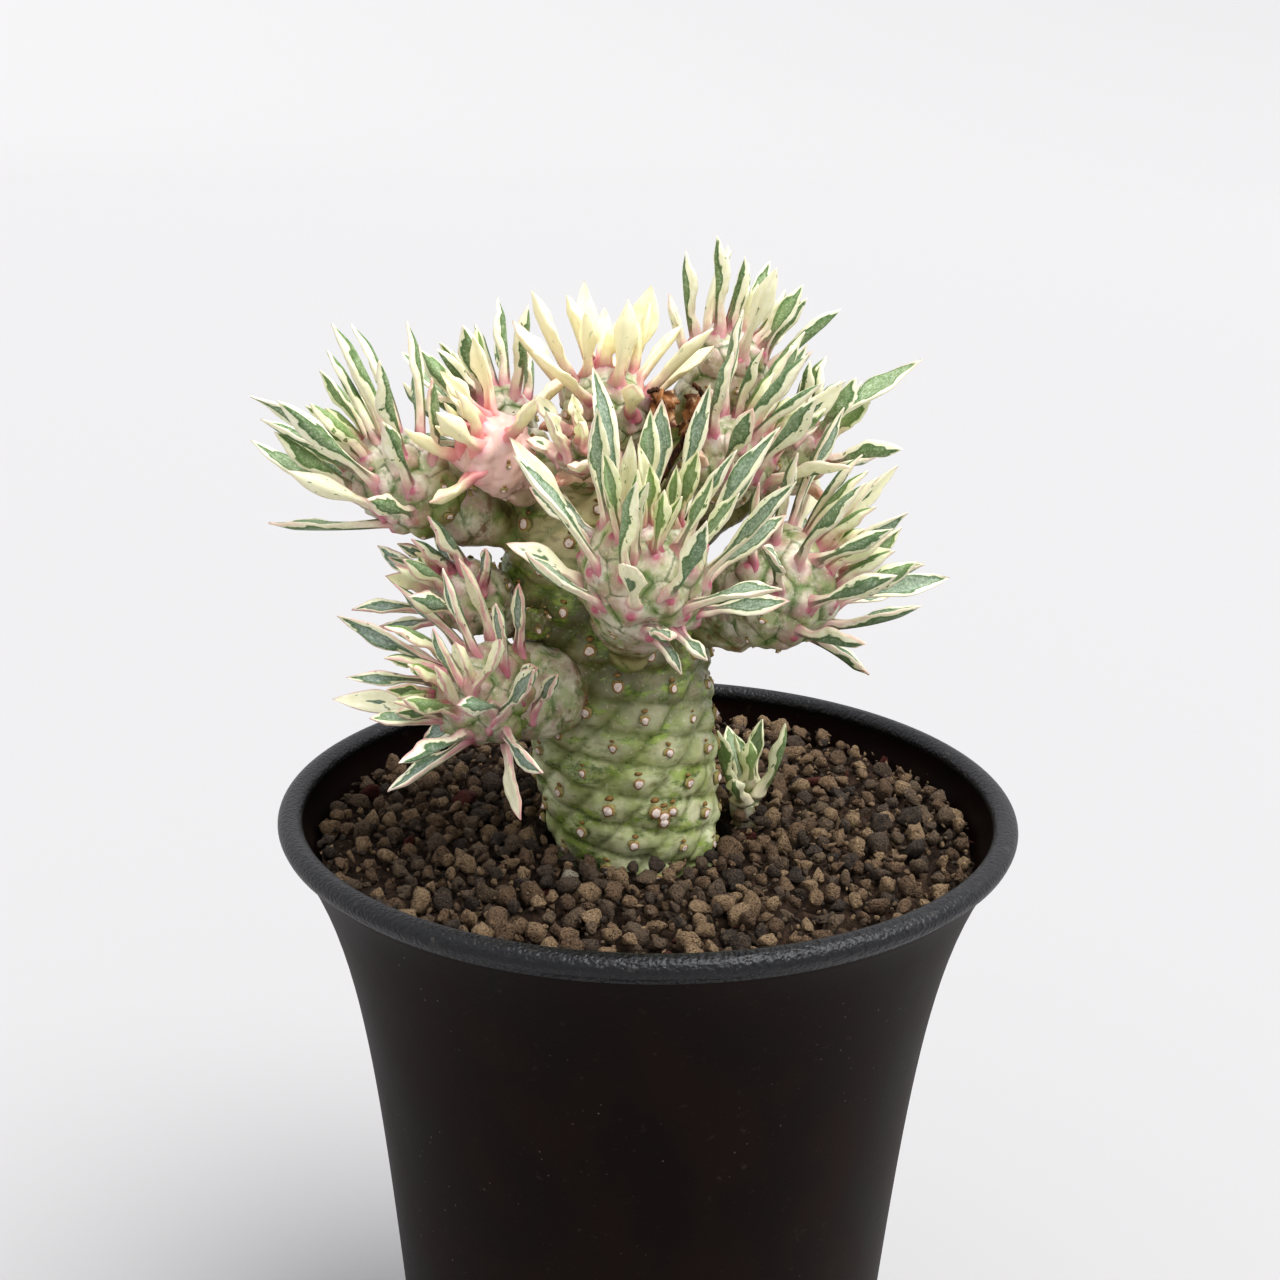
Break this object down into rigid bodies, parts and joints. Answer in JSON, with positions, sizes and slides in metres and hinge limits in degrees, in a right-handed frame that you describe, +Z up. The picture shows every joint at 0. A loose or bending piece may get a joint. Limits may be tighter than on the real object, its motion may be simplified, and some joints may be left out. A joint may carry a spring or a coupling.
{
  "type": "potted variegated sotetsukirin euphorbia",
  "caption": "Succulent euphorbia with a warty trunk and variegated leaf rosettes, in gravel soil in a flared black plastic pot.",
  "frame": {"origin": "centre of the pot's base on the surface it stands on", "axes": "+Z up, -Y toward the front side that the picture shows, +X to its right"},
  "size_m": [0.1057, 0.1048, 0.196],
  "materials": {
    "pot": "satin, fine leathery grain on the rim",
    "soil": "porous dusty grains of baked clay, lava and pumice",
    "trunk": "waxy satin skin with diamond warts and pale scars",
    "variegated_leaf": "satin, cream edges around a grey-green middle, pink at the stalk",
    "cream_leaf": "satin, creamy yellow",
    "pink_leaf": "satin, cream with salmon pink",
    "dried_stalk": "dry and papery"
  },
  "bodies": {
    "root": {"pot": "pot", "soil": "soil", "trunk": "trunk", "head_front": "variegated_leaf", "head_right": "variegated_leaf", "head_left": "variegated_leaf", "head_low_left": "variegated_leaf", "head_low_behind": "variegated_leaf", "head_top_front": "variegated_leaf", "head_top": "variegated_leaf", "head_top_right": "variegated_leaf", "head_back_left": "variegated_leaf", "rosette_small": "variegated_leaf", "soil_plantlet": "variegated_leaf", "head_cream": "cream_leaf", "head_pink": "pink_leaf", "dried_flower_stalks": "dried_stalk"}
  },
  "joints": []
}
